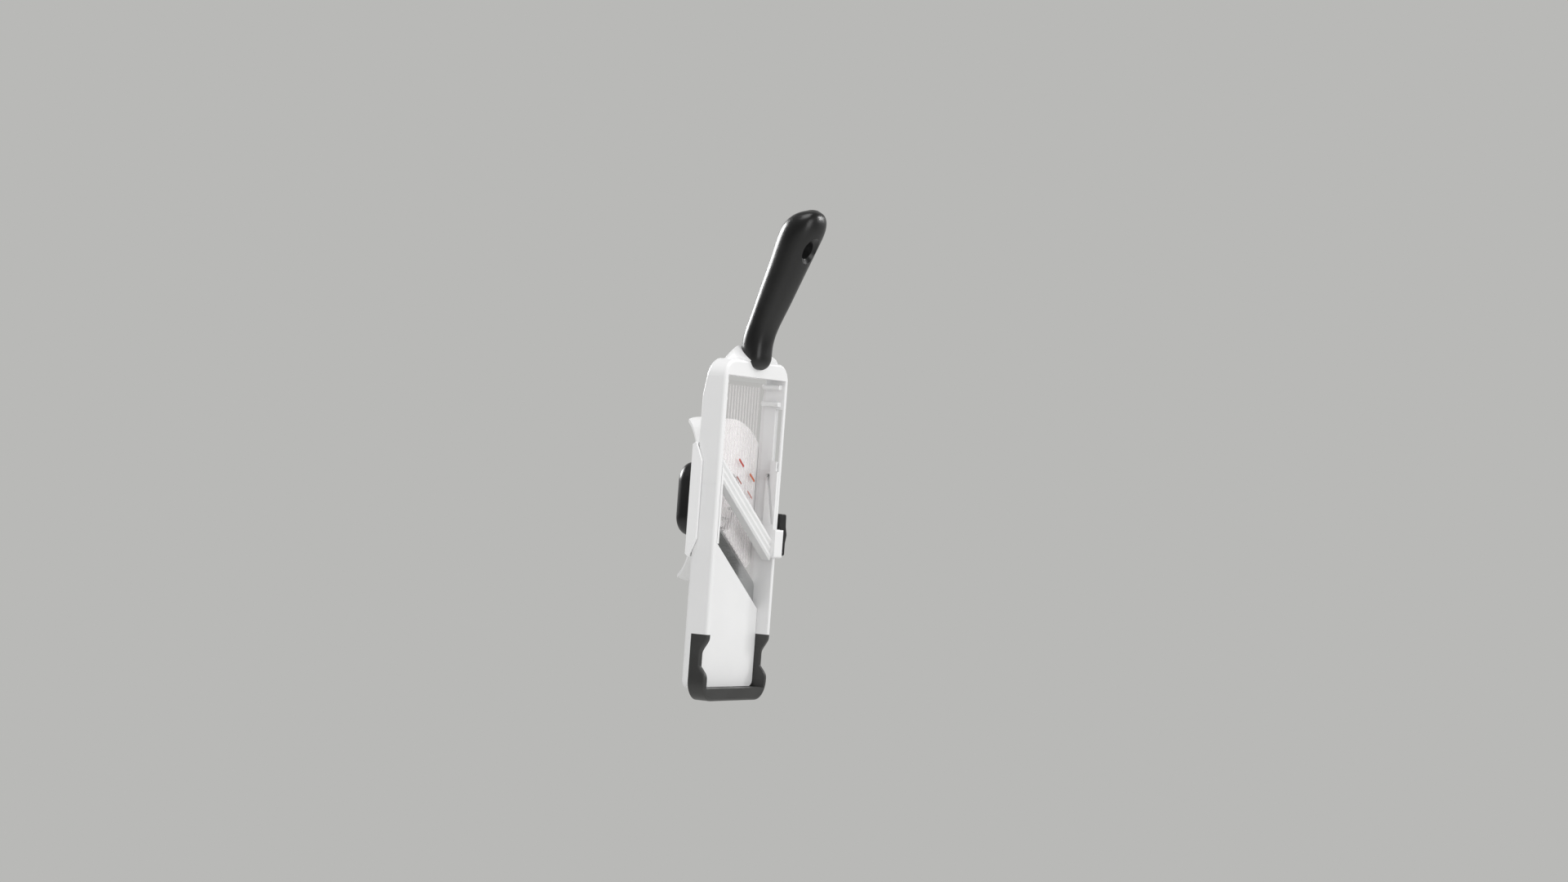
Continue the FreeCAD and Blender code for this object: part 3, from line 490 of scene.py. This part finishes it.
def studio_world(backdrop, back):
    """The light from all round; back points from the slicer to the camera."""
    world = bpy.data.worlds.new("studio")
    world.use_nodes = True
    tree = world.node_tree
    tree.nodes.clear()
    path = node(tree, "ShaderNodeLightPath")
    # The camera and the clear ramp see the plain backdrop
    seen = node(tree, "ShaderNodeMath", {
        0: path.outputs["Is Camera Ray"], 1: path.outputs["Is Transmission Ray"]},
        operation="MAXIMUM")
    view = node(tree, "ShaderNodeBackground", {"Color": rgba(backdrop), "Strength": 1.0})
    # Gloss sees it fade into a dim room behind the camera, with a pale table below
    way = node(tree, "ShaderNodeTexCoord").outputs["Generated"]
    behind = node(tree, "ShaderNodeVectorMath", {0: way, 1: -back}, operation="DOT_PRODUCT")
    fade = node(tree, "ShaderNodeMapRange", {
        0: behind.outputs["Value"], 1: 0.3, 2: 1.0, 3: 0.06, 4: 1.0})
    height = node(tree, "ShaderNodeSeparateXYZ", {0: way}).outputs["Z"]
    table = node(tree, "ShaderNodeMapRange", {0: height, 1: -0.1, 2: -0.45, 3: 0.0, 4: 1.0})
    glow = node(tree, "ShaderNodeMath", {
        0: fade.outputs[0], 1: table.outputs[0]}, operation="MAXIMUM")
    room = node(tree, "ShaderNodeBackground", {
        "Color": rgba(backdrop), "Strength": glow.outputs[0]})
    # All other rays get soft white light
    light = node(tree, "ShaderNodeBackground", {"Color": (1, 1, 1, 1), "Strength": 0.79})
    gloss = node(tree, "ShaderNodeMixShader", {
        0: path.outputs["Is Glossy Ray"], 1: light.outputs[0], 2: room.outputs[0]})
    both = node(tree, "ShaderNodeMixShader", {
        0: seen.outputs[0], 1: gloss.outputs[0], 2: view.outputs[0]})
    node(tree, "ShaderNodeOutputWorld", {"Surface": both.outputs[0]})
    return world


class SLICER_OT_stage(bpy.types.Operator):
    """Set out the floor, the light and the camera"""

    bl_idname = "slicer.stage"
    bl_label = "Stage"

    def execute(self, context):
        scene = context.scene
        sizes = scene.slicer_sizes
        colours = scene.slicer_colours
        scene.view_settings.view_transform = "Standard"

        # The camera looks level, and the slicer leans a little in the picture
        middle = FRAME_MIDDLE
        turn = sizes.camera_turn
        back = Vector((math.sin(turn), -math.cos(turn), 0))
        side = Vector((math.cos(turn), math.sin(turn), 0))
        rise = Vector((0, 0, 1))
        lean = sizes.camera_roll
        right = side * math.cos(lean) + rise * math.sin(lean)
        top = rise * math.cos(lean) - side * math.sin(lean)
        data = bpy.data.cameras.new("camera")
        data.sensor_width = SENSOR_WIDTH
        data.lens = SENSOR_WIDTH * FOCAL_PIXELS / PICTURE_WIDTH
        data.shift_x = SHIFT_X_PIXELS / PICTURE_WIDTH
        data.shift_y = SHIFT_Y_PIXELS / PICTURE_WIDTH
        data.clip_start = 0.1
        data.clip_end = 50
        camera = bpy.data.objects.new("camera", data)
        turned = Matrix((right, top, back)).transposed().to_4x4()
        camera.matrix_world = Matrix.Translation(middle + back * sizes.camera_distance) @ turned
        scene.collection.objects.link(camera)
        scene.camera = camera

        shape = bmesh.new()
        bmesh.ops.create_circle(shape, cap_ends=True, segments=96, radius=FLOOR_RADIUS)
        floor_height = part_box("end_foot")[0].z - sizes.floor_drop
        bmesh.ops.translate(shape, verts=shape.verts, vec=(0, middle.y, floor_height))
        floor = add_object("floor", shape, studio_paper(colours.paper))

        scene.world = studio_world(colours.backdrop, back)
        lamp("lamp_above", middle + rise * 1.1 + back * 0.3, middle,
             width=0.7, height=0.7, power=5.5)
        lamp("lamp_front", middle + back * 0.9 + side * 1.0 + rise * 0.25, middle,
             width=0.6, height=0.8, power=4.5)
        lamp("lamp_right", middle + side * 1.1 - back * 0.5 + rise * 0.55, middle,
             width=0.3, height=0.3, power=4.5)
        # A narrow beam draws the pale line down the grip's left edge
        lamp("lamp_rim", GRIP_MIDDLE - back * 0.55 - side * 0.9 + rise * 0.3, GRIP_MIDDLE,
             width=0.9, height=0.5, power=3.2, spread=math.radians(50), gloss_only=True)
        return {"FINISHED"}


class SLICER_PT_panel(bpy.types.Panel):
    """Lists the slicer's pieces and its stage"""

    bl_label = "Mandoline Slicer"
    bl_idname = "SLICER_PT_panel"
    bl_space_type = "VIEW_3D"
    bl_region_type = "UI"
    bl_category = "Slicer"

    def draw(self, context):
        for operator in OPERATORS:
            self.layout.operator(operator.bl_idname)
        for group in (context.scene.slicer_sizes, context.scene.slicer_colours):
            for name in group.__annotations__:
                self.layout.prop(group, name)


OPERATORS = (
    SLICER_OT_white_pieces,
    SLICER_OT_black_pieces,
    SLICER_OT_clear_ramp,
    SLICER_OT_steel_pieces,
    SLICER_OT_plunger_spring,
    SLICER_OT_ramp_marks,
    SLICER_OT_stage,
)
CLASSES = (SlicerSizes, SlicerColours, *OPERATORS, SLICER_PT_panel)


def register():
    for made in CLASSES:
        bpy.utils.register_class(made)
    bpy.types.Scene.slicer_sizes = bpy.props.PointerProperty(type=SlicerSizes)
    bpy.types.Scene.slicer_colours = bpy.props.PointerProperty(type=SlicerColours)


def unregister():
    del bpy.types.Scene.slicer_colours
    del bpy.types.Scene.slicer_sizes
    for made in reversed(CLASSES):
        bpy.utils.unregister_class(made)


def main():
    register()
    bpy.ops.slicer.white_pieces()
    bpy.ops.slicer.black_pieces()
    bpy.ops.slicer.clear_ramp()
    bpy.ops.slicer.steel_pieces()
    bpy.ops.slicer.plunger_spring()
    bpy.ops.slicer.ramp_marks()
    bpy.ops.slicer.stage()


if __name__ == "__main__":
    main()
